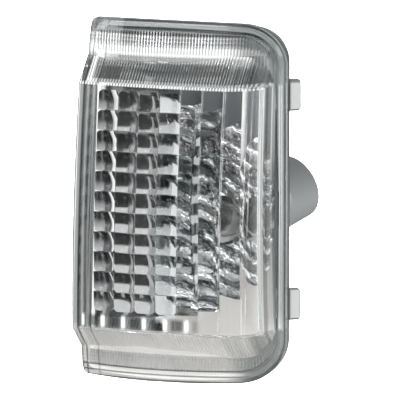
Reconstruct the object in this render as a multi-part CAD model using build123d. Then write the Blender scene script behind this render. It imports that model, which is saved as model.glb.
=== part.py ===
from build123d import *
import math
import os

# Turn signal lamp for a door mirror: a clear stepped lens on a grey tray, a metallised reflector
# inside it, and a wedge bulb in a twist-lock holder that fits the tray's collar.
# Millimetres. The lens faces -Y and +Z is up, as on the vehicle. Pieces are drawn about the middle
# of the lens flange, and moved at the end so that the mouth of the fixing boss is the origin.

# Outline of the lens flange, seen from the front
flange_half_height = 75.6
flange_right = 47.8
flange_left_top = -33.4
flange_left_bottom = -38.3
top_edge_heights = (73.3, 73.8, 72.0)
bottom_edge_heights = (-74.9, -75.6, -74.3)
edge_middle = 5.0
corner_radius = 18.0
left_corner_radius = 2.5

# Lens flange, curved round the mirror, and the bands above and below the raised face
flange_radius = 107.0
flange_skirt = 4.0
rim_width = 5.0
lip_width = 1.5
lip_step = 0.8
band_wall = 2.6
fold_top = 60.2
fold_bottom = -63.8
lean_top = 4.0
lean_bottom = 2.8

# Raised face
crest_top = 48.6
crest_bottom = -52.8
face_apex_x = 15.0
face_apex_y = -14.2
face_radius = 284.0
shoulder_start_x = 26.0
shoulder_radius = 18.0
shoulder_angle = 75.0
shoulder_run = 18.0
face_bow = 2.8
lens_wall = 2.4
crest_wall = 0.4
side_wall = 2.4

# Blocks that cut other shapes are longer than the lamp by this, and the lens' hollow starts and ends here
far = 100.0
far_left = -50.0
inner_back = 24.0
hollow_reach = 1.2

# Optics on the inside of the lens
rib_pitch = 1.25
rib_height = 0.45
column_pitch = 9.1
column_fan = 0.026
flute_count = 5
flute_rise = 0.9
optic_margin = 0.25
ramp_wall = lens_wall + flute_rise + optic_margin
pillow_columns = 4
pillow_rows = 11
pillow_top = 46.2
pillow_pitch = 8.3
pillow_groove = 0.3
pillow_radius = 12.0
pillow_rise = 1.5
pillow_block = 3.0

# Clips on the right edge of the lens
clip_reach = 4.9
clip_height = 13.2
clip_wall = 1.6
clip_centres = (43.5, -42.8)

# Grey tray
joint_gap = 0.1
tray_inset = 1.2
tray_wall = 2.0
tray_back = 30.0
tray_floor = 2.2
tray_taper = 2.6
tray_edge_radius = 3.0
tray_corner_radius = 5.0

# Fixing boss on the back of the tray
boss_x = -22.0
boss_z = 0.0
boss_radius = 4.6
boss_bore_radius = 2.1
boss_bore_depth = 9.0
boss_mouth = 38.0
boss_web_reach = 3.0
boss_web_wall = 1.6
boss_web_step = 1.0

# Bulb collar, with its mouth centre and the way it points
collar_mouth = Vector(39.3, 50.0, -0.2)
collar_direction = Vector(0.41, 0.87, 0.26).normalized()
collar_radius = 13.7
collar_bore_radius = 11.5
ledge_depth = 6.0
ledge_thickness = 2.2
ledge_bore_radius = 9.6
lug_count = 3
lug_width = 5.0
lug_thickness = 2.0
lug_clearance = 0.5

# Reflector: a flat panel behind the pillows, and the right half of a faceted dish behind the flutes
reflector_wall = 1.5
reflector_lean = -2.6
reflector_turn = 3.2
panel_half_height = 56.0
panel_clearance = 0.6
dish_x = -4.0
dish_z = -6.0
dish_radius = 44.0
dish_depth = 9.0
dish_front = 12.0
dish_sides = 14
dish_rings = 5
dish_eye = 3.0
bulb_hole_radius = 9.5
post_radius = 3.0
post_margin = 5.0

# Bulb holder, seal and contacts, measured from the collar's mouth inwards
fit_clearance = 0.2
cap_start = 1.0
cap_thickness = 3.6
neck_end = 18.5
socket_depth = 8.0
socket_width = 15.4
socket_gap = 6.6
plug_pocket_width = 13.0
plug_pocket_height = 9.4
plug_pocket_depth = 7.0
plug_corner_radius = 1.0
contact_width = 2.8
contact_thickness = 0.6
contact_offset = 4.0
contact_tail = 5.0
contact_grip = 6.0

# Wedge bulb
wedge_width = 14.8
wedge_thickness = 5.0
wedge_corner_radius = 1.0
wedge_seat_gap = 0.3
tube_gap = 1.0
glass_radius = 7.4
glass_wall = 0.8
glass_length = 24.0
wire_radius = 0.3
filament_radius = 0.45
filament_length = 5.0


def flange_y(x):
    """Front of the flange, without its lean."""
    return flange_radius - math.sqrt(flange_radius**2 - x**2)


def left_edge(z):
    """The slanted left end of the lamp."""
    share = (flange_half_height - z) / (2 * flange_half_height)
    return flange_left_top + share * (flange_left_bottom - flange_left_top)


def outline(inset, left_inset, left_radius=left_corner_radius):
    """Front outline in the XZ plane, moved in by inset, and by left_inset at its left end."""
    left_top = left_edge(flange_half_height - inset) + left_inset
    left_bottom = left_edge(inset - flange_half_height) + left_inset
    places = (edge_middle, flange_right - inset)
    top = [Vector(x, 0, z - inset) for x, z in zip((left_top, *places), top_edge_heights)]
    bottom = [Vector(x, 0, z + inset) for x, z in zip((left_bottom, *places), bottom_edge_heights)]
    edges = [
        ThreePointArc(*top),
        Line(top[2], bottom[2]),
        ThreePointArc(*reversed(bottom)),
        Line(bottom[0], top[0]),
    ]
    wire = Wire([edge.edge() for edge in edges])
    face = Face(wire)
    corners = face.vertices().sort_by(Axis.X)
    face = face.fillet_2d(corner_radius - inset, corners[2:])
    corners = face.vertices().sort_by(Axis.X)
    return face.fillet_2d(left_radius, corners[:2])


def outline_prism(inset, left_inset):
    """The outline run through the whole depth of the lamp."""
    face = outline(inset, left_inset)
    return Solid.extrude(face.moved(Location((0, -far, 0))), Vector(0, 2 * far, 0))


def turned(centre, radius, angle):
    """Point at an angle from straight forward, on a circle round a centre in plan."""
    return centre + Vector(radius * math.sin(angle), -radius * math.cos(angle), 0)


face_centre = Vector(face_apex_x, face_apex_y + face_radius, 0)
shoulder_from = math.asin((shoulder_start_x - face_apex_x) / face_radius)
shoulder_to = math.radians(shoulder_angle)
shoulder_centre = turned(face_centre, face_radius - shoulder_radius, shoulder_from)
face_stretch = (shoulder_from * face_radius, (shoulder_to - shoulder_from) * shoulder_radius)


def face_point(distance, depth):
    """Point in plan at a distance along the raised face from its apex, and a depth behind it."""
    if distance <= face_stretch[0]:
        return turned(face_centre, face_radius - depth, distance / face_radius)
    rest = distance - face_stretch[0]
    if rest <= face_stretch[1]:
        return turned(shoulder_centre, shoulder_radius - depth, shoulder_from + rest / shoulder_radius)
    run = Vector(math.cos(shoulder_to), math.sin(shoulder_to), 0)
    return turned(shoulder_centre, shoulder_radius - depth, shoulder_to) + run * (rest - face_stretch[1])


def face_bulge(z):
    """How far the raised face stands forward of its two crests at height z."""
    middle = (crest_top + crest_bottom) / 2
    half = (crest_top - crest_bottom) / 2
    return face_bow * (1 - ((z - middle) / half) ** 2)


def fanned(point, z):
    """A plan point of the columns, which lean with the left end of the lamp, set at height z."""
    middle = (crest_top + crest_bottom) / 2
    lean = column_fan * min(1, max(0, (flange_right - point.X) / flange_right))
    return Vector(point.X + lean * (z - middle), point.Y - face_bulge(z), z)


face_end = face_stretch[0] + face_stretch[1] + shoulder_run


def closed_face(edges, z):
    """Plan region behind a front line: the line's ends are joined round the back."""
    start = edges[0] @ 0
    end = edges[-1] @ 1
    back = Polyline(end, (end.X, inner_back, z), (start.X, inner_back, z), start)
    return Face(Wire(edges + list(back.edges())))


def smooth_raised(z, depth):
    """Plan region of the raised face at height z, moved back by depth."""
    bulge = Vector(0, -face_bulge(z), z)
    left = face_point(far_left - face_apex_x, depth)
    middle = face_point((far_left - face_apex_x) / 2, depth)
    tangent = face_point(face_stretch[0], depth)
    bend = face_point(face_stretch[0] + face_stretch[1] / 2, depth)
    leave = face_point(face_stretch[0] + face_stretch[1], depth)
    end = face_point(face_end, depth)
    edges = [
        ThreePointArc(left + bulge, middle + bulge, tangent + bulge).edge(),
        ThreePointArc(tangent + bulge, bend + bulge, leave + bulge).edge(),
        Line(leave + bulge, end + bulge).edge(),
    ]
    return closed_face(edges, z)


def ribbed_line(point_at, start, end, z):
    """Zigzag of fine ribs between two distances along a line in plan."""
    count = round((end - start) / rib_pitch)
    pitch = (end - start) / count
    points = []
    for index in range(count):
        points.append(point_at(start + index * pitch, 0))
        points.append(point_at(start + (index + 0.5) * pitch, rib_height))
    points.append(point_at(end, 0))
    return [edge for edge in Polyline(*[point + Vector(0, 0, z) for point in points]).edges()]


def ribbed_raised(z, depth):
    """Plan region of the raised face at height z with ribs along its front."""
    def point_at(distance, rise):
        return face_point(distance, depth + rise)
    return closed_face(ribbed_line(point_at, far_left - face_apex_x, face_end, z), z)


def ribbed_band(z, depth):
    """Plan region behind the flange with ribs along its front."""
    def point_at(distance, rise):
        return Vector(distance, flange_y(distance) + depth + rise, 0)
    return closed_face(ribbed_line(point_at, far_left, flange_right + rim_width, z), z)


def smooth_band(z, depth):
    """Plan region behind the flange."""
    right = flange_right + rim_width
    ends = [Vector(x, flange_y(x) + depth, z) for x in (far_left, 0, right)]
    return closed_face([ThreePointArc(*ends).edge()], z)


def slid(face, back, up):
    """A plan region slid up or down while it moves back."""
    return Solid.extrude(face, Vector(0, back, up))


def band_body(depth, section):
    """Everything behind the leaning bands of the flange, at a depth."""
    top = section(flange_half_height, depth)
    bottom = section(-flange_half_height, depth)
    middle = smooth_band(fold_top, depth).moved(Location((0, -lean_top, 0)))
    upper = slid(top, -lean_top, fold_top - flange_half_height)
    lower = slid(bottom, -lean_bottom, fold_bottom + flange_half_height)
    between = slid(middle, lean_top - lean_bottom, fold_bottom - fold_top)
    return upper.fuse(between, lower)


def ramp_slide(lean):
    """How far the raised face moves back on its way from a crest to a fold."""
    return flange_y(shoulder_start_x) - lean - face_point(face_stretch[0], 0).Y


def ramps(section, depth, inset, reach):
    """Upper and lower ramp from the crests, where reach is the share of the way that they go."""
    upper = slid(
        section(crest_top - inset, depth),
        reach * ramp_slide(lean_top),
        reach * (fold_top - crest_top),
    )
    lower = slid(
        section(crest_bottom + inset, depth),
        reach * ramp_slide(lean_bottom),
        reach * (fold_bottom - crest_bottom),
    )
    return upper, lower


def lofted_face(section, inset):
    """Raised face between its crests, through three plan regions."""
    heights = (crest_top - inset, (crest_top + crest_bottom) / 2, crest_bottom + inset)
    return Solid.make_loft([section(z).outer_wire() for z in heights])


def fluted_section(z):
    """Plan region inside the raised face: plain behind the pillows, then upright flutes."""
    start = (pillow_columns - 3) * column_pitch - face_apex_x
    left = face_point(far_left - face_apex_x, lens_wall)
    middle = face_point((far_left - face_apex_x + start) / 2, lens_wall)
    first = face_point(start, lens_wall)
    edges = [ThreePointArc(*[fanned(point, z) for point in (left, middle, first)]).edge()]
    for index in range(flute_count):
        ends = [start + (index + share) * column_pitch for share in (0, 0.5, 1)]
        rises = (0, flute_rise, 0)
        points = [fanned(face_point(s, lens_wall + rise), z) for s, rise in zip(ends, rises)]
        edges.append(ThreePointArc(*points).edge())
    edges.append(Line(edges[-1] @ 1, fanned(face_point(face_end, lens_wall), z)).edge())
    return closed_face(edges, z)


def pillow(column, row):
    """One lenslet on the inside of the raised face."""
    distance = (column - 2.5) * column_pitch - face_apex_x
    z = pillow_top - (row + 0.5) * pillow_pitch
    spot = fanned(face_point(distance, lens_wall), z)
    cell = Box(column_pitch - pillow_groove, pillow_block, pillow_pitch - pillow_groove)
    cell = Pos(0, pillow_rise - pillow_block / 2, 0) * cell
    ball = Pos(0, pillow_rise - pillow_radius, 0) * Sphere(pillow_radius)
    turn = math.degrees(distance / face_radius)
    return (Location(spot, (0, 0, turn)) * (cell & ball)).solid()


def clip(height):
    """Flat clip that reaches out of the lens' right edge, along the curve of the flange."""
    slope = math.degrees(math.asin(flange_right / flange_radius))
    root = clip_wall
    length = clip_reach + root
    blade = Box(length, clip_wall, clip_height)
    blade = fillet(blade.edges().filter_by(Axis.Y).group_by(Axis.X)[-1], clip_wall)
    spot = Vector(flange_right - root, flange_y(flange_right) + flange_skirt - clip_wall, height)
    return (Location(spot, (0, 0, slope)) * Pos(length / 2, 0, 0) * blade).solid()


def behind(depth):
    """Everything behind the curved back of the flange, from a depth on."""
    right = -far_left + 2 * rim_width
    ends = [Vector(x, flange_y(x) + depth, -far) for x in (-right, 0, right)]
    back = Polyline(ends[2], (right, far, -far), (-right, far, -far), ends[0])
    face = Face(Wire([ThreePointArc(*ends).edge()] + list(back.edges())))
    return Solid.extrude(face, Vector(0, 0, 2 * far))


def make_lens():
    """Clear lens, moulded in one with its flange, ribs, flutes, pillows and clips."""
    raised = lofted_face(lambda z: smooth_raised(z, 0), 0).fuse(*ramps(smooth_raised, 0, 0, 1))
    lip = band_body(lip_step, smooth_band) & outline_prism(0, 0)
    flange = band_body(0, smooth_band).fuse(raised) & outline_prism(lip_width, 0)
    inside = lofted_face(fluted_section, crest_wall).fuse(
        *ramps(ribbed_raised, ramp_wall, crest_wall, hollow_reach), band_body(band_wall, ribbed_band)
    )
    inside = inside & outline_prism(rim_width, side_wall)
    lens = lip.fuse(flange) - inside
    pillows = [pillow(column, row) for column in range(pillow_columns) for row in range(pillow_rows)]
    lens = lens - behind(flange_skirt)
    return lens.fuse(*pillows, *[clip(height) for height in clip_centres])


def tray_prism(extra, start, end):
    """Tapered block with the tray's outline, grown by extra, between two depths."""
    def ring(y):
        inset = tray_inset - extra + tray_taper * (y / tray_back)
        return outline(inset, inset, tray_corner_radius).moved(Location((0, y, 0))).outer_wire()
    return Solid.make_loft([ring(start), ring(end)], ruled=True)


def along_collar(depth):
    """Place on the collar's axis at a depth inside its mouth, with Z pointing inwards."""
    return Plane(origin=collar_mouth - collar_direction * depth, x_dir=(0, 0, 1), z_dir=-collar_direction)


def collar_cylinder(radius, start, end):
    """Cylinder on the collar's axis between two depths."""
    return Solid.make_cylinder(radius, end - start, along_collar(start))


def boss_webs():
    """Two crossed webs that stiffen the fixing boss on the tray's back."""
    start = tray_back - tray_floor / 2
    length = boss_mouth - boss_web_step - start
    web = Box(2 * (boss_radius + boss_web_reach), length, boss_web_wall)
    place = Pos(boss_x, start + length / 2, boss_z)
    return [(place * Rot(0, angle, 0) * web).solid() for angle in (0, 90)]


def post(x, z):
    """Post on the tray's floor that ends on the back of the reflector's panel."""
    ahead = Pos(0, reflector_wall - far / 2, 0) * Box(2 * far, far, 2 * far)
    rod = Solid.make_cylinder(post_radius, tray_back - tray_floor / 2, Plane((x, 0, z), z_dir=(0, 1, 0)))
    return rod - on_reflector(ahead)


def make_tray():
    """Grey tray with its collar, ledge, fixing boss and reflector posts."""
    shell = tray_prism(0, 0, tray_back)
    edges = shell.edges().group_by(Axis.Y)[-1]
    shell = shell.fillet(tray_edge_radius, edges)
    hollow = tray_prism(-tray_wall, -1, tray_back - tray_floor)
    walls = (shell - hollow) & behind(flange_skirt + joint_gap)
    outside = Pos(0, tray_back - tray_floor + far / 2, 0) * Box(2 * far, far, 2 * far)
    collar = collar_cylinder(collar_radius, 0, far) & outside.solid()
    boss_plane = Plane((boss_x, boss_mouth, boss_z), z_dir=(0, -1, 0))
    boss = Solid.make_cylinder(boss_radius, boss_mouth - tray_back + tray_floor / 2, boss_plane)
    posts = [post(x, z) for x, z in post_places()]
    tray = walls.fuse(collar, boss, *boss_webs(), *posts)
    ledge_back = ledge_depth + ledge_thickness
    tray = tray - collar_cylinder(collar_bore_radius, -1, ledge_depth)
    tray = tray - collar_cylinder(ledge_bore_radius, ledge_depth - 1, ledge_back + 1)
    tray = tray - collar_cylinder(collar_bore_radius, ledge_back, far)
    for index in range(lug_count):
        notch = Box(collar_bore_radius, lug_width + 2 * lug_clearance, ledge_thickness + 2 * lug_clearance)
        notch = Rot(0, 0, index * 360 / lug_count) * Pos(collar_bore_radius / 2, 0, 0) * notch
        tray = tray - (along_collar(ledge_depth + ledge_thickness / 2).location * notch).solid()
    return tray - Solid.make_cylinder(boss_bore_radius, boss_bore_depth, boss_plane)


def panel_left(z):
    """Left edge of the reflector's panel at height z, clear of the tray's wall."""
    taper = tray_taper * (dish_front + reflector_wall) / tray_back
    return left_edge(z) + tray_inset + taper + tray_wall + panel_clearance


def post_places():
    """Centres of the posts that carry the corners of the reflector's panel."""
    high = panel_half_height - post_margin
    right = dish_x - post_margin
    return [(x, z) for z in (high, -high) for x in (panel_left(z) + post_margin, right)]


def on_reflector(shape):
    """Shape drawn about the rim of the dish, leaning and turned as the reflector is."""
    place = Location((dish_x, dish_front, dish_z), (reflector_lean, 0, reflector_turn))
    return (place * shape).solid()


def dish_ring(radius, grow, index):
    """One many-sided ring of the dish; every other ring is turned by half a side."""
    share = min(1, radius / dish_radius)
    turn = 360 / dish_sides * (index % 2) / 2
    ring = RegularPolygon(radius + grow * share, dish_sides, rotation=turn)
    ring_plane = Plane((0, dish_depth * (1 - share**2) + grow, 0), x_dir=(1, 0, 0), z_dir=(0, -1, 0))
    return (ring_plane.location * ring).face().outer_wire()


def dish_solid(grow):
    """Faceted bowl, as a filled block, grown by a wall."""
    pitch = (dish_radius - dish_eye) / dish_rings
    rings = [dish_ring(dish_eye + pitch * index, grow, index) for index in range(dish_rings + 1)]
    return Solid.make_loft(rings, ruled=True)


def reflector_panel():
    """Flat plate of the reflector, with the slant of the lamp's left end."""
    high = panel_half_height
    corners = [(panel_left(z) - dish_x, 0, z - dish_z) for z in (-high, high)]
    corners += [(0, 0, z - dish_z) for z in (high, -high)]
    return Solid.extrude(Face(Polyline(*corners, close=True).wire()), Vector(0, reflector_wall, 0))


def make_reflector():
    """Metallised insert: a flat panel, a web, and half a faceted dish with a hole for the bulb."""
    half = Box(2 * dish_radius, 4 * dish_depth, 3 * dish_radius)
    web = Pos(-reflector_wall / 2, 0, 0) * Box(reflector_wall, 4 * dish_depth, 3 * dish_radius)
    back = dish_solid(reflector_wall)
    bowl = (Pos(dish_radius, 0, 0) * half) & back
    reflector = (bowl - dish_solid(0)).solid().fuse((web & back).solid(), reflector_panel())
    return on_reflector(reflector) - collar_cylinder(bulb_hole_radius, ledge_depth, far)


def on_collar(shape, depth=0):
    """Shape drawn with Z pointing inwards, put on the collar's axis at a depth from its mouth."""
    return (along_collar(depth).location * shape).solid()


def standing(shape, start):
    """Shape with its lower end at height start, instead of its middle at zero."""
    return Pos(0, 0, start - shape.bounding_box().min.Z) * shape


def contact_shape(side):
    """Blade contact, straight from the plug pocket to the bulb's wires."""
    start = cap_start + plug_pocket_depth - contact_tail
    end = neck_end - socket_depth + contact_grip
    blade = standing(Box(contact_width, contact_thickness, end - start), start)
    return Pos(side * contact_offset, side * (socket_gap - contact_thickness) / 2, 0) * blade


def make_bulb_holder():
    """Twist-lock holder: a cap against the seal, a neck through the ledge and lugs behind it."""
    cap = standing(Cylinder(collar_bore_radius - fit_clearance, cap_thickness), cap_start)
    neck_length = neck_end - cap_start
    holder = cap + standing(Cylinder(ledge_bore_radius - fit_clearance, neck_length), cap_start)
    lug_start = ledge_depth + ledge_thickness + fit_clearance
    for index in range(lug_count):
        lug = Pos(collar_bore_radius / 2, 0, 0) * Box(collar_bore_radius, lug_width, lug_thickness)
        lug = lug & Cylinder(collar_bore_radius - fit_clearance, lug_thickness)
        holder += Rot(0, 0, (index + 0.5) * 360 / lug_count) * standing(lug, lug_start)
    pocket = Box(plug_pocket_width, plug_pocket_height, plug_pocket_depth + 1)
    pocket = fillet(pocket.edges().filter_by(Axis.Z), plug_corner_radius)
    holder -= standing(pocket, cap_start - 1)
    socket = standing(Box(socket_width, socket_gap, socket_depth + 1), neck_end - socket_depth)
    holder -= socket
    for side in (-1, 1):
        holder -= contact_shape(side)
    return on_collar(holder)


def make_holder_seal():
    """Rubber ring between the holder's cap and the ledge."""
    start = cap_start + cap_thickness
    seal = Cylinder(collar_bore_radius - fit_clearance, ledge_depth - start)
    seal -= Cylinder(ledge_bore_radius, ledge_depth)
    return on_collar(standing(seal, start))


def make_contact(side):
    """Brass contact on one side of the bulb."""
    return on_collar(contact_shape(side))


def make_bulb_glass():
    """Glass of the bulb: a flat pinched base and a hollow tube with a domed tip."""
    seat = neck_end - socket_depth + wedge_seat_gap
    tube = neck_end + tube_gap
    dome = tube + glass_length - glass_radius
    base = standing(Box(wedge_width, wedge_thickness, tube - seat + 1), seat)
    base = fillet(base.edges().filter_by(Axis.Z), wedge_corner_radius)
    outer = standing(Cylinder(glass_radius, dome - tube), tube) + Pos(0, 0, dome) * Sphere(glass_radius)
    inner_radius = glass_radius - glass_wall
    inner = standing(Cylinder(inner_radius, dome - tube - glass_wall), tube + glass_wall)
    inner += Pos(0, 0, dome) * Sphere(inner_radius)
    return on_collar((base + outer) - inner)


def filament_depth():
    """Distance of the filament from the collar's mouth."""
    return neck_end + tube_gap + glass_length - 2 * glass_radius


def make_bulb_wire(side):
    """Wire that carries one end of the filament, from the pinch of the glass."""
    start = neck_end + tube_gap + glass_wall
    wire = standing(Cylinder(wire_radius, filament_depth() - start), start)
    return on_collar(Pos(side * (filament_length / 2 + wire_radius), 0, 0) * wire)


def make_bulb_filament():
    """Wound filament, drawn as a plain rod between its wires."""
    rod = Rot(0, 90, 0) * Cylinder(filament_radius, filament_length)
    return on_collar(Pos(0, 0, filament_depth() - filament_radius) * rod)


makers = {
    "lens": make_lens,
    "tray": make_tray,
    "reflector": make_reflector,
    "bulb_holder": make_bulb_holder,
    "holder_seal": make_holder_seal,
    "contact_left": lambda: make_contact(-1),
    "contact_right": lambda: make_contact(1),
    "bulb_glass": make_bulb_glass,
    "bulb_wire_left": lambda: make_bulb_wire(-1),
    "bulb_wire_right": lambda: make_bulb_wire(1),
    "bulb_filament": make_bulb_filament,
}

os.makedirs("parts", exist_ok=True)
for name, make in makers.items():
    piece = make().moved(Location((-boss_x, -boss_mouth, -boss_z)))
    export_step(piece, f"parts/{name}.step")
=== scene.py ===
import math

import bpy
from mathutils import Matrix, Vector

# Looks of the door mirror's turn signal lamp. Metres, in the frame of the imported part: the lens
# faces -Y, +Z is up, and the origin is the mouth of the fixing boss on the back of the tray.

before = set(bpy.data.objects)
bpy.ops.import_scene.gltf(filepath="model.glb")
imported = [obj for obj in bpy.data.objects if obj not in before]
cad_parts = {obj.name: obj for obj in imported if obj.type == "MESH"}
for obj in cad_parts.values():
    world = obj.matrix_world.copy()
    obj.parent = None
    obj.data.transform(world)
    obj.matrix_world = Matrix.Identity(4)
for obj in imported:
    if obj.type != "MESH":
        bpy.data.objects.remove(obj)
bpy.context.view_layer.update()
MM = 0.001

# Lens, in millimetres from the middle of its flange
lens_middle = 22.0
crest_top = 48.6
crest_bottom = -52.8
crest_fade = 0.6
fold_right = 46.3
fold_top = 61.5
fold_radius = 15.0
rim_middle = -0.9
rim_right = 47.8
rim_top = 74.4
rim_radius = 18.0
left_edge = -35.85
left_lean = 0.0324
clip_top = 43.5
clip_bottom = -42.8
rib_pitch = 1.2537
rib_edge = (0.0, 0.8)

# Columns of pillows and flutes, which lean a little to the right towards the top
column_pitch = 9.1
column_lean = 0.026
lean_height = -2.1
streak_start = 0.28
groove_start = 0.5

# Edges of what the lens shows: a level in millimetres, and how far it fades on both sides of it.
# Levels are to the right or up, outward from the fold or the rim, or inward from the left edge.
band_edge = (0.5, 1.0)
ramp_edge = (-5.0, 2.5)
ramp_left = (-26.5, 6.5)
low_band_top = (-63.8, 1.0)
lip_shade_edge = (-5.4, 0.3)
lip_shade_bottom = (-51.0, 7.0)
crest_end = (-5.85, 0.65)
wall_end = (-5.3, 0.3)
wall_left = (40.5, 2.5)
flutes_left = (4.0, 2.0)
flutes_right = (37.5, 0.5)
foot_left = (4.5, 0.5)
foot_right = (16.0, 4.0)
clip_root = (48.4, 0.2)
clip_tip = (52.1, 0.2)

# The same for the product of how far a surface faces to the right and backward, and for the haze
flank_turn = (0.25, 0.05)
flank_turn_away = (-0.25, 0.05)
groove_gaps = (0.475, 0.125)

# Painted highlights on and under the fold, on the crest, streaks and grooves; dark streaks are
# painted shade
# Thin lines on the lens: a level as above and half a width. The last three are shares of a column.
fold_line = (0.0, 1.6)
under_fold_line = (-3.0, 1.4)
crest_line = (crest_top, 0.5)
foot_line = (-49.2, 2.2)
bright_streak = (0.8, 0.08)
dark_streak = (0.36, 0.24)
groove_line = (0.5, 0.02)

# Groups of thin lines: level, half a width and strength. The clips' are from the middle of a clip.
# Rim, left and clip lines are painted dark edges; ring and left wall lines are painted highlights
rim_lines = ((-0.2, 0.4, 1.0), (-2.8, 0.3, 1.0), (-5.2, 0.35, 1.0))
ring_lines = ((-6.4, 0.25, 1.0), (-7.9, 0.25, 1.0), (-9.4, 0.25, 1.0))
left_lines = ((0.2, 0.4, 1.0), (2.6, 0.3, 1.0), (8.2, 0.3, 0.7))
left_wall_lines = ((4.4, 0.5, 0.12), (6.6, 0.25, 0.08))
clip_lines = ((6.3, 0.4, 1.0), (-6.3, 0.4, 1.0))

# Haze with painted highlights, and painted shade, from 0 to 1: between the ribs, and what ribs add
band_haze_and_highlight = (0.02, 0.10)
fold_highlight = (0.25, 0.45)
under_fold_highlight = (0.06, 0.16)
upper_rib_highlight = (0.0, 0.03)
crest_highlight = (0.1, 0.6)
bottom_haze_and_highlight = (0.3, 0.08)
ramp_shade = (0.95, -0.25)

# The same where there are no ribs
low_band_clears = 0.13
low_ring_highlight = 0.12
top_ring_highlight = 0.15
flank_highlight = 0.06
streak_highlight = 0.6
clip_whitening = 0.25
wall_whitening = 0.22
groove_highlight = 0.3
lip_shade_strength = 0.6
streak_shade = 0.95
band_shade = 0.2
dark_clears = 0.8

# Tray: its middle, and edges as a level in metres and how far it fades on both sides. The
# sideways edge is on how far a surface faces backward.
tray_middle = (20 * MM, -25 * MM, 0.0)
tray_low = (-17.5 * MM, 17.5 * MM)
wall_inside = (-11.75 * MM, 0.75 * MM)
wall_outside = (-9 * MM, 1 * MM)
shade_bottom = (10 * MM, 10 * MM)
shade_right = (55 * MM, 3 * MM)
collar_shade = (3 * MM, 9 * MM)
outward_edge = (0.0, 0.001)
sideways_edge = (-0.55, 0.15)
inside_shade = 0.97
collar_darker = 0.7

# Reflector: the creased part of the dish and its facets
dish_left = 18 * MM
dish_height = -6 * MM
crease_left = (dish_left + 6 * MM, 0.5 * MM)
patch_right = (50 * MM, 6 * MM)
facet_height = 7.4 * MM
facet_width = 9 * MM
facet_slant = 0.8
facet_stagger = 0.37
facet_start = 0.5
row_crown = 0.9 * MM
column_crown = 0.5 * MM
panel_wave = 0.4 * MM
# Painted shade along the seams between facets; duller patches at random
seam_edge = (0.935, 0.035)
seam_shade = 0.45
patch_edge = (0.56, 0.08)
patch_dull = 0.75
coarse_creases = 200.0
coarse_share = 0.55
coarse_stretch = (1.0, 1.0, 0.62)
fine_creases = 520.0
fine_share = 0.15

# Cells painted on the reflector that the fourth column shows: shade above, highlight and haze below
cell_left = (dish_left - 3.5 * MM, 0.5 * MM)
cell_top = 46.2 * MM
cell_pitch = 8.05 * MM
cell_start = 0.51
cell_jag = 0.3
cell_shade_end = (0.54, 0.04)
cell_lit_haze_start = (0.58, 0.04)
cell_lit_haze_end = (0.94, 0.04)
cell_shade_strength = 0.8
lit_haze_dull = 0.3
lit_haze_less_metal = 0.6
lit_haze_rougher = 0.35

# Colours
lens_clear = (0.965, 0.972, 0.97, 1)
# Grey of the shade painted on the lens
painted_shade_grey = (0.21, 0.23, 0.233, 1)
# White of the haze and the painted highlights on the lens
haze_and_highlight_dark = (0.80, 0.81, 0.80, 1)
haze_and_highlight_light = (0.86, 0.87, 0.86, 1)
haze_and_highlight_bottom = (0.53, 0.525, 0.51, 1)
# Tray: painted light inside, darker low down, painted shade behind the ramp, on its back and collar
tray_inside_lit = (0.84, 0.84, 0.835, 1)
tray_inside_low = (0.70, 0.69, 0.675, 1)
tray_inside_shade = (0.06, 0.07, 0.075, 1)
tray_back_dark = (0.20, 0.212, 0.215, 1)
tray_back_light = (0.24, 0.252, 0.255, 1)
collar_top_shade = (0.08, 0.088, 0.09, 1)
metal_bright = (0.90, 0.91, 0.92, 1)
# Bright metal, and a dull grey that also carries painted shade
metal_dull_and_shade = (0.19, 0.215, 0.225, 1)
glass_clear = (0.97, 0.98, 0.98, 1)
floor_dark = (0.93, 0.93, 0.93, 1)
floor_light = (0.95, 0.95, 0.95, 1)

# Camera at the photograph's viewing angle, far off with a long lens
view_turn = math.radians(17.0)
view_rise = math.radians(9.5)
view_distance = 3.0
picture_width = 0.1652
aim_across = 0.02357
aim_up = -0.00692
sensor = 36.0

# Studio light by direction: x to the right, y away from the camera, z up, each from -1 to 1.
# Edges are a level and how far it fades on both sides of it.
ahead_edge = (-0.475, 0.175)
behind_edge = (0.3, 0.2)
ceiling_edge = (0.51, 0.09)
below_edge = (-0.41, 0.09)
right_edge = (0.725, 0.175)
dark_middle = -0.04
dark_side = (0.34, 0.02)
dark_top = (-0.045, 0.075)
dark_bottom = (-0.42, 0.02)
beside_right = (-0.46, 0.02)
beside_left = (-0.72, 0.02)
beside_top = (-0.025, 0.025)
beside_bottom = (-0.34, 0.02)

# Strength of that light, and what is taken from it below and in the two dark fields
room_light = 0.14
ahead_light = 0.36
behind_light = 0.4
ceiling_light = 0.8
right_light = 0.45
below_less = 0.75
dark_less = 0.98
beside_less = 0.85

# Soft boxes: turn to the right from straight ahead, rise, half width and fading edge, all in
# degrees, and strength
soft_boxes = (
    (-68, 18, 14, 4, 2.2),
    (74, 8, 12, 4, 1.8),
    (-30, -42, 8, 4, 1.5),
    (-24, -5, 5, 5, 0.2),
    (0, 20, 12, 8, 0.4),
    (-14, 34, 4, 2, 4.0),
    (38, 20, 4, 2, 4.0),
    (-44, 16, 4, 2, 4.0),
)

# Lamps and floor
lamp_middle = (0.02, 0.0, 0.0)
floor_level = -0.45
floor_half = 12.0
wash_spot = (0.0, 3.2, 1.2)
wash_aim = (0.0, 3.2, floor_level)


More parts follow.
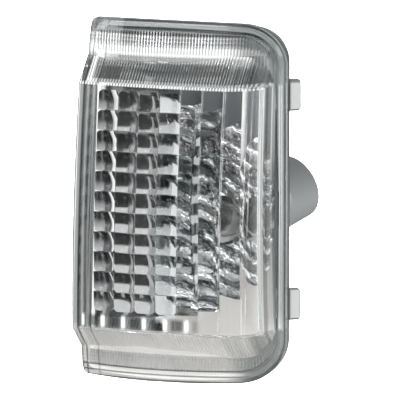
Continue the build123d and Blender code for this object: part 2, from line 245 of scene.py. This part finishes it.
class Value:
    """One socket of a material; sums and products of values add the Math nodes."""

    def __init__(self, paint, socket):
        self.paint = paint
        self.socket = socket

    def math(self, operation, *others):
        """Math node on this value and others."""
        node = self.paint.node("ShaderNodeMath", {"operation": operation})
        for slot, item in enumerate((self,) + others):
            self.paint.feed(node.inputs[slot], item)
        return Value(self.paint, node.outputs[0])

    def __add__(self, other):
        return self.math("ADD", other)

    def __radd__(self, other):
        return self.math("ADD", other)

    def __sub__(self, other):
        return self.math("SUBTRACT", other)

    def __rsub__(self, other):
        return (self * -1) + other

    def __mul__(self, other):
        return self.math("MULTIPLY", other)

    def __rmul__(self, other):
        return self.math("MULTIPLY", other)

    def __truediv__(self, other):
        return self.math("DIVIDE", other)

    def __pow__(self, other):
        return self.math("POWER", other)

    def between(self, low, high, out_low=0.0, out_high=1.0):
        """This value carried from one range to another, and held at its ends."""
        node = self.paint.node("ShaderNodeMapRange", {"interpolation_type": "SMOOTHSTEP"})
        for slot, item in enumerate((self, low, high, out_low, out_high)):
            self.paint.feed(node.inputs[slot], item)
        return Value(self.paint, node.outputs[0])

    def over(self, level, fade):
        """1 where this value is over a level, else 0, fading on both sides of the level."""
        return self.between(level - fade, level + fade)

    def under(self, level, fade):
        """1 where this value is under a level, else 0, fading on both sides of the level."""
        return self.between(level + fade, level - fade)


class Paint:
    """A material or world under construction."""

    def __init__(self, tree):
        self.tree = tree
        tree.nodes.clear()

    def feed(self, socket, item):
        """Link a value to a socket, or set the socket to a number or a tuple."""
        if isinstance(item, Value):
            self.tree.links.new(item.socket, socket)
        else:
            socket.default_value = item

    def node(self, kind, settings=None, inputs=None):
        """A node of a kind, with its settings made before its sockets are filled."""
        node = self.tree.nodes.new(kind)
        for name, setting in (settings or {}).items():
            setattr(node, name, setting)
        for name, item in (inputs or {}).items():
            self.feed(node.inputs[name], item)
        return node

    def out(self, kind, settings=None, inputs=None, output=0):
        """The value that a new node gives."""
        return Value(self, self.node(kind, settings, inputs).outputs[output])

    def place(self):
        """Place on the object, in metres of the part's own frame."""
        return self.out("ShaderNodeTexCoord", output="Object")

    def facing(self):
        """Direction that the surface faces, in the part's own frame."""
        return self.out("ShaderNodeTexCoord", output="Normal")

    def split(self, vector):
        """The three parts of a vector."""
        node = self.node("ShaderNodeSeparateXYZ", inputs={0: vector})
        return [Value(self, output) for output in node.outputs]

    def noise(self, vector, scale, detail=3.0, roughness=0.5):
        """Soft noise from 0 to 1."""
        inputs = {"Vector": vector, "Scale": scale, "Detail": detail, "Roughness": roughness}
        return self.out("ShaderNodeTexNoise", inputs=inputs)

    def mix(self, share, first, second):
        """Colour between two colours."""
        node = self.node("ShaderNodeMix", {"data_type": "RGBA"})
        for slot, item in ((0, share), (6, first), (7, second)):
            self.feed(node.inputs[slot], item)
        return Value(self, node.outputs[2])

    def vector_math(self, operation, first, second, output="Vector"):
        """Vector Math node on two vectors."""
        node = self.node("ShaderNodeVectorMath", {"operation": operation})
        for slot, item in enumerate((first, second)):
            self.feed(node.inputs[slot], item)
        return Value(self, node.outputs[output])

    def facets(self, vector, scale):
        """Height in metres of a surface broken into flat facets, each tilted its own way."""
        node = self.node("ShaderNodeTexVoronoi", inputs={"Vector": vector, "Scale": scale})
        position, colour = (Value(self, node.outputs[name]) for name in ("Position", "Color"))
        middle = self.vector_math("DIVIDE", position, (scale, scale, scale))
        offset = self.vector_math("SUBTRACT", vector, middle)
        tilt = self.vector_math("SUBTRACT", colour, (0.5, 0.5, 0.5))
        return self.vector_math("DOT_PRODUCT", offset, tilt, "Value")

    def bump(self, height, strength, distance):
        """Normal of a surface with this height on it."""
        inputs = {"Height": height, "Strength": strength, "Distance": distance}
        return self.out("ShaderNodeBump", inputs=inputs)


def material(name):
    """Empty material with its paint."""
    made = bpy.data.materials.new(name)
    made.use_nodes = True
    return made, Paint(made.node_tree)


def finish_surface(paint, inputs):
    """Principled surface of a material."""
    shader = paint.out("ShaderNodeBsdfPrincipled", inputs=inputs)
    paint.node("ShaderNodeOutputMaterial", inputs={"Surface": shader})


def rounded(x, z, right, top, radius):
    """Distance outside a line that runs along the top, round a corner and down the right."""
    over = (x - (right - radius)).math("MAXIMUM", 0.0)
    up = (z - (top - radius)).math("MAXIMUM", 0.0)
    return (over * over + up * up) ** 0.5 - radius


def line(distance, at, half):
    """1 on a thin line where a distance has a value, fading to 0 on both sides."""
    return (distance - at).math("ABSOLUTE").under(half * 1.1, half * 0.5)


def lines(distance, marks):
    """Several thin lines; each mark is a value of the distance, half a width and a strength."""
    return sum(line(distance, at, half) * strength for at, half, strength in marks)


class LensPlaces:
    """Distances in millimetres, and masks from 0 to 1, that the finish of the lens is made of."""

    def __init__(self, paint):
        place = paint.place()
        x, _, z = paint.split(place)
        side, out, _ = paint.split(paint.facing())
        self.x = x * 1000 - lens_middle
        self.z = z * 1000
        self.haze = paint.noise(place, 90.0)
        self.flank = side * out
        self.top = self.z.over(crest_top, crest_fade)
        self.bottom = self.z.under(crest_bottom, crest_fade)
        self.bands = self.top + self.bottom
        self.fold = rounded(self.x, self.z, fold_right, fold_top, fold_radius)
        self.band = self.fold.over(*band_edge)
        from_middle = (self.z - rim_middle).math("ABSOLUTE")
        self.rim = rounded(self.x, from_middle, rim_right, rim_top, rim_radius)
        self.lip_shade = self.rim.over(*lip_shade_edge) * self.z.over(*lip_shade_bottom)
        self.left = self.x - left_edge - self.z * left_lean
        self.clip = self.x.over(*clip_root)
        self.ribs = (self.x * (math.tau / rib_pitch)).math("SINE").over(*rib_edge)
        column = (self.x - (self.z - lean_height) * column_lean) / column_pitch
        self.streak = (column + streak_start).math("FRACT")
        self.groove = (column + groove_start).math("FRACT")
        across_foot = self.x.under(*foot_right) * self.left.over(*foot_left)
        self.foot = line(self.z, *foot_line) * across_foot

    def ribbed(self, plain, added):
        """A strength between the ribs, with what the ribs add to it."""
        return plain + self.ribs * added


def lens_dark(at):
    """Painted shade in dark lines: the steps of the rim and left wall, the clips' outlines, shaded
    flanks.
    """
    clip_middle = (clip_top + clip_bottom) / 2
    clip_reach = (clip_top - clip_bottom) / 2
    from_clip = (at.z - clip_middle).math("ABSOLUTE") - clip_reach
    clip_edge = lines(from_clip, clip_lines) + at.x.over(*clip_tip)
    edge = lines(at.rim, rim_lines) + lines(at.left, left_lines)
    # Painted shade on the rib flanks that face away
    shaded = at.flank.under(*flank_turn_away) * at.bands
    return (edge + at.clip * clip_edge + shaded).math("MINIMUM", 1.0)


def lens_haze_and_highlights(at, dark):
    """Haze and painted highlights: most on the ribs, the fold, the crest and the lower band."""
    rings = lines(at.rim, ring_lines)
    # Painted highlights along the fold and just under it
    fold = line(at.fold, *fold_line) * at.ribbed(*fold_highlight)
    under_fold = line(at.fold, *under_fold_line) * at.ribbed(*under_fold_highlight)
    upper = at.band * at.ribbed(*band_haze_and_highlight) + fold + under_fold + at.ribbed(*upper_rib_highlight)
    upper = upper * (1 - at.lip_shade * lip_shade_strength) + rings * at.band * top_ring_highlight

    low_band = at.z.under(*low_band_top) * low_band_clears
    lower = at.ribbed(*bottom_haze_and_highlight) - low_band + rings * low_ring_highlight
    # Painted highlight on the crest; rib flanks facing one way get painted light
    crest = line(at.z, *crest_line) * at.rim.under(*crest_end) * at.ribbed(*crest_highlight)
    flanks = at.flank.over(*flank_turn) * at.bands
    share = at.top * upper + at.bottom * lower + crest + flanks * flank_highlight

    middle = 1 - at.bands
    flutes = middle * at.x.over(*flutes_left) * at.x.under(*flutes_right)
    # Painted highlight lines along the grooves between flutes
    grooves = flutes * line(at.groove, *groove_line) * at.haze.over(*groove_gaps)
    share = share + middle * lines(at.left, left_wall_lines) + grooves * groove_highlight
    wall = at.x.over(*wall_left) * at.rim.under(*wall_end)
    share = share + wall * wall_whitening + at.clip * clip_whitening
    # Painted highlight streaks under the columns
    share = share + at.foot * line(at.streak, *bright_streak) * streak_highlight
    return share * (1 - dark * dark_clears)


def lens_painted_shade(at, dark):
    """How much painted shade the plastic shows: dark lines, the upper ramp, dark streaks."""
    # Painted shade on the upper ramp, on the rim's lip and in dark streaks under the columns
    ramp = at.top * at.fold.under(*ramp_edge) * at.x.over(*ramp_left)
    streaks = at.foot * line(at.streak, *dark_streak) * streak_shade
    painted_shade_share = dark + ramp * at.ribbed(*ramp_shade) + at.lip_shade * lip_shade_strength
    return (painted_shade_share + streaks + at.top * at.band * band_shade).math("MINIMUM", 1.0)


def clear_lens():
    """Clear moulded plastic, polished on the face: haze and painted highlights on ribs and folds,
    painted shade on edges.
    """
    made, paint = material("clear_lens")
    at = LensPlaces(paint)
    dark = lens_dark(at)
    painted_shade_share = lens_painted_shade(at, dark)
    clear = paint.out("ShaderNodeBsdfPrincipled", inputs={
        "Base Color": paint.mix(painted_shade_share, lens_clear, painted_shade_grey),
        "Roughness": at.haze.between(0.45, 0.75, 0.0, 0.04),
        "IOR": 1.49,
        "Transmission Weight": 1.0,
    })
    white = paint.mix(at.haze, haze_and_highlight_dark, haze_and_highlight_light)
    haze_and_highlight_white = paint.out("ShaderNodeBsdfPrincipled", inputs={
        "Base Color": paint.mix(at.bottom, white, haze_and_highlight_bottom),
        "Roughness": 0.3,
    })
    share = lens_haze_and_highlights(at, dark)
    shader = paint.out("ShaderNodeMixShader", inputs={0: share, 1: clear, 2: haze_and_highlight_white})
    paint.node("ShaderNodeOutputMaterial", inputs={"Surface": shader})
    return made


def grey_tray():
    """Satin grey plastic, fine moulded grain: painted light inside, painted shade on back and
    collar.
    """
    made, paint = material("grey_tray")
    place = paint.place()
    x, y, z = paint.split(place)
    grain = paint.noise(place, 2600.0, 2.0)
    tone = paint.noise(place, 35.0)

    # Painted light inside, darker low down
    inside = paint.mix(z.under(*tray_low), tray_inside_lit, tray_inside_low)
    # Painted shadow inside, on the upper walls behind the ramp
    shade = y.over(*wall_inside) * z.over(*shade_bottom) * x.under(*shade_right)
    inside = paint.mix(shade * inside_shade, inside, tray_inside_shade)

    # Painted shade: a darker copy of the grey on the back, darker still on top of the collar
    back = paint.mix(tone, tray_back_dark, tray_back_light)
    back = paint.mix(z.over(*collar_shade) * collar_darker, back, collar_top_shade)

    facing = paint.facing()
    from_middle = paint.vector_math("SUBTRACT", place, tray_middle)
    outward = paint.vector_math("DOT_PRODUCT", facing, from_middle, "Value").over(*outward_edge)
    outward = outward * paint.split(facing)[1].over(*sideways_edge)
    outside = y.over(*wall_outside).math("MAXIMUM", outward)
    finish_surface(paint, {
        "Base Color": paint.mix(outside, inside, back),
        "Roughness": tone.between(0.3, 0.7, 0.38, 0.5),
        "Normal": paint.bump(grain, 0.15, 0.0002),
    })
    return made


def metallised():
    """Bright metal coat: smooth panel with painted cells; dish creased into slanted rows of facets,
    painted shade on seams.
    """
    made, paint = material("metallised")
    place = paint.place()
    x, _, z = paint.split(place)
    in_dish = x.over(*crease_left)
    right, up = x - dish_left, z - dish_height
    row = (up - right * facet_slant) / facet_height
    column = right / facet_width + row.math("FLOOR") * facet_stagger + facet_start
    across, along = row.math("FRACT") * 2 - 1, column.math("FRACT") * 2 - 1
    crown = (1 - across * across) * row_crown + (1 - along * along) * column_crown
    wave = paint.noise(place, 60.0, 2.0)
    stretched = paint.vector_math("MULTIPLY", place, coarse_stretch)
    crumple = paint.facets(stretched, coarse_creases) * coarse_share
    crumple = crumple + paint.facets(place, fine_creases) * fine_share
    height = wave * panel_wave * (1 - in_dish) + (crown + crumple) * in_dish

    # Painted shade in the seams between facets, with duller patches at random
    seam = across.math("ABSOLUTE").math("MAXIMUM", along.math("ABSOLUTE")).over(*seam_edge)
    patch = paint.noise(place, 50.0).over(*patch_edge) * x.under(*patch_right)
    creased = (seam * seam_shade + patch * patch_dull).math("MINIMUM", 1.0) * in_dish

    # Painted cells: shade at the top of each, painted highlight with haze below
    jagged = paint.noise(place, 300.0) * cell_jag
    cell = ((cell_top - z) / cell_pitch + jagged + cell_start).math("FRACT")
    cells = x.over(*cell_left) * (1 - in_dish)
    shaded = cells * cell.under(*cell_shade_end)
    lit_haze = cells * cell.over(*cell_lit_haze_start) * cell.under(*cell_lit_haze_end)
    dullness_and_shade = creased + shaded * cell_shade_strength + lit_haze * lit_haze_dull
    finish_surface(paint, {
        "Base Color": paint.mix(dullness_and_shade, metal_bright, metal_dull_and_shade),
        "Metallic": 1 - lit_haze * lit_haze_less_metal,
        "Roughness": wave.between(0.3, 0.7, 0.03, 0.08) + lit_haze * lit_haze_rougher,
        "Normal": paint.bump(height, 1.0, 1.0),
    })
    return made


def plain(name, colour, roughness, metallic=0.0, grain=900.0, depth=0.1):
    """Simple finish with a fine grain and a slight change of tone."""
    made, paint = material(name)
    place = paint.place()
    tone = paint.noise(place, grain / 12)
    fine = paint.noise(place, grain, 2.0)
    dark = tuple(part * 0.85 for part in colour) + (1,)
    finish_surface(paint, {
        "Base Color": paint.mix(tone, dark, colour + (1,)),
        "Metallic": metallic,
        "Roughness": fine.between(0.2, 0.8, roughness * 0.85, roughness * 1.15),
        "Normal": paint.bump(fine, depth, 0.0001),
    })
    return made


def bulb_glass():
    """Thin clear glass."""
    made, paint = material("bulb_glass")
    ripple = paint.noise(paint.place(), 160.0)
    finish_surface(paint, {
        "Base Color": glass_clear,
        "Roughness": ripple.between(0.4, 0.7, 0.0, 0.02),
        "IOR": 1.5,
        "Transmission Weight": 1.0,
    })
    return made


finishes = {
    "lens": clear_lens(),
    "tray": grey_tray(),
    "reflector": metallised(),
    "bulb_holder": plain("holder_plastic", (0.12, 0.12, 0.13), 0.45),
    "holder_seal": plain("seal_rubber", (0.02, 0.02, 0.02), 0.7),
    "contact_left": plain("contact_brass", (0.75, 0.58, 0.28), 0.3, 1.0),
    "bulb_glass": bulb_glass(),
    "bulb_wire_left": plain("bulb_wire", (0.6, 0.6, 0.6), 0.3, 1.0),
    "bulb_filament": plain("filament", (0.15, 0.15, 0.16), 0.5, 1.0),
}
finishes["contact_right"] = finishes["contact_left"]
finishes["bulb_wire_right"] = finishes["bulb_wire_left"]

for name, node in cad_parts.items():
    node.data.materials.clear()
    node.data.materials.append(finishes[name])

# Soft light reaches the inside through the clear lens
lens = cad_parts["lens"]
lens.visible_shadow = False
lens.visible_diffuse = False


def direction(turn, rise):
    """Unit vector at an angle to the right from straight ahead and an angle up."""
    return Vector((
        math.sin(turn) * math.cos(rise),
        -math.cos(turn) * math.cos(rise),
        math.sin(rise),
    ))


def make_camera():
    """Camera that sees the lamp as the photograph does."""
    data = bpy.data.cameras.new("camera")
    data.sensor_width = sensor
    data.lens = sensor * view_distance / picture_width
    camera = bpy.data.objects.new("camera", data)
    across = Vector((math.cos(view_turn), math.sin(view_turn), 0))
    back = direction(view_turn, view_rise)
    upward = back.cross(across)
    spot = across * aim_across + upward * aim_up + back * view_distance
    turn = Matrix((across, upward, back)).transposed().to_4x4()
    camera.matrix_world = Matrix.Translation(spot) @ turn
    bpy.context.scene.collection.objects.link(camera)
    bpy.context.scene.camera = camera


def area_light(name, spot, aim, size, power, spread=180.0):
    """Soft box at a spot, turned to what it lights; its size is width and height."""
    data = bpy.data.lights.new(name, "AREA")
    data.shape = "RECTANGLE"
    data.size, data.size_y = size
    data.energy = power
    data.spread = math.radians(spread)
    lamp = bpy.data.objects.new(name, data)
    lamp.location = spot
    lamp.rotation_euler = (Vector(aim) - Vector(spot)).to_track_quat("-Z", "Y").to_euler()
    lamp.visible_glossy = False
    lamp.visible_transmission = False
    bpy.context.scene.collection.objects.link(lamp)


def make_floor():
    """Plain pale floor under the lamp; the lens doesn't show it."""
    mesh = bpy.data.meshes.new("floor")
    corners = [
        (-floor_half, -floor_half, floor_level),
        (floor_half, -floor_half, floor_level),
        (floor_half, floor_half, floor_level),
        (-floor_half, floor_half, floor_level),
    ]
    mesh.from_pydata(corners, [], [(0, 1, 2, 3)])
    floor = bpy.data.objects.new("floor", mesh)
    bpy.context.scene.collection.objects.link(floor)
    made, paint = material("floor")
    tone = paint.noise(paint.place(), 2.0)
    finish_surface(paint, {
        "Base Color": paint.mix(tone, floor_dark, floor_light),
        "Roughness": 0.9,
    })
    mesh.materials.append(made)
    floor.visible_transmission = False
    floor.visible_glossy = False


def make_world():
    """Studio round the lamp: a light ceiling and soft boxes, dim below, with two dark fields."""
    world = bpy.data.worlds.new("studio")
    world.use_nodes = True
    bpy.context.scene.world = world
    paint = Paint(world.node_tree)
    x, y, z = paint.split(paint.out("ShaderNodeTexCoord", output="Generated"))

    def box(turn, rise, half, fade):
        """Round soft box in a direction, all in degrees."""
        aim = direction(math.radians(turn), math.radians(rise))
        near = x * aim.x + y * aim.y + z * aim.z
        return near.between(math.cos(math.radians(half + fade)), math.cos(math.radians(half)))

    ahead = y.under(*ahead_edge)
    level = room_light + ahead * ahead_light + y.over(*behind_edge) * behind_light
    level = level + z.over(*ceiling_edge) * ceiling_light + x.over(*right_edge) * right_light
    level = level * (1 - z.under(*below_edge) * below_less)
    for *place, strength in soft_boxes:
        level = level + box(*place) * strength

    dark = ahead * (x - dark_middle).math("ABSOLUTE").under(*dark_side)
    dark = dark * z.under(*dark_top) * z.over(*dark_bottom)
    beside = x.under(*beside_right) * x.over(*beside_left)
    beside = beside * z.under(*beside_top) * z.over(*beside_bottom)
    level = level * (1 - dark * dark_less) * (1 - beside * beside_less)
    light = paint.out("ShaderNodeBackground", inputs={"Strength": level})
    paint.node("ShaderNodeOutputWorld", inputs={"Surface": light})


bpy.context.scene.view_settings.view_transform = "Standard"
make_camera()
make_floor()
make_world()
area_light("key", (-0.5, -0.9, 0.9), lamp_middle, (0.5, 0.5), 12)
area_light("fill", (0.9, -0.7, 0.3), lamp_middle, (0.4, 0.8), 7)
area_light("floor_wash", wash_spot, wash_aim, (4.0, 3.0), 260, 110.0)
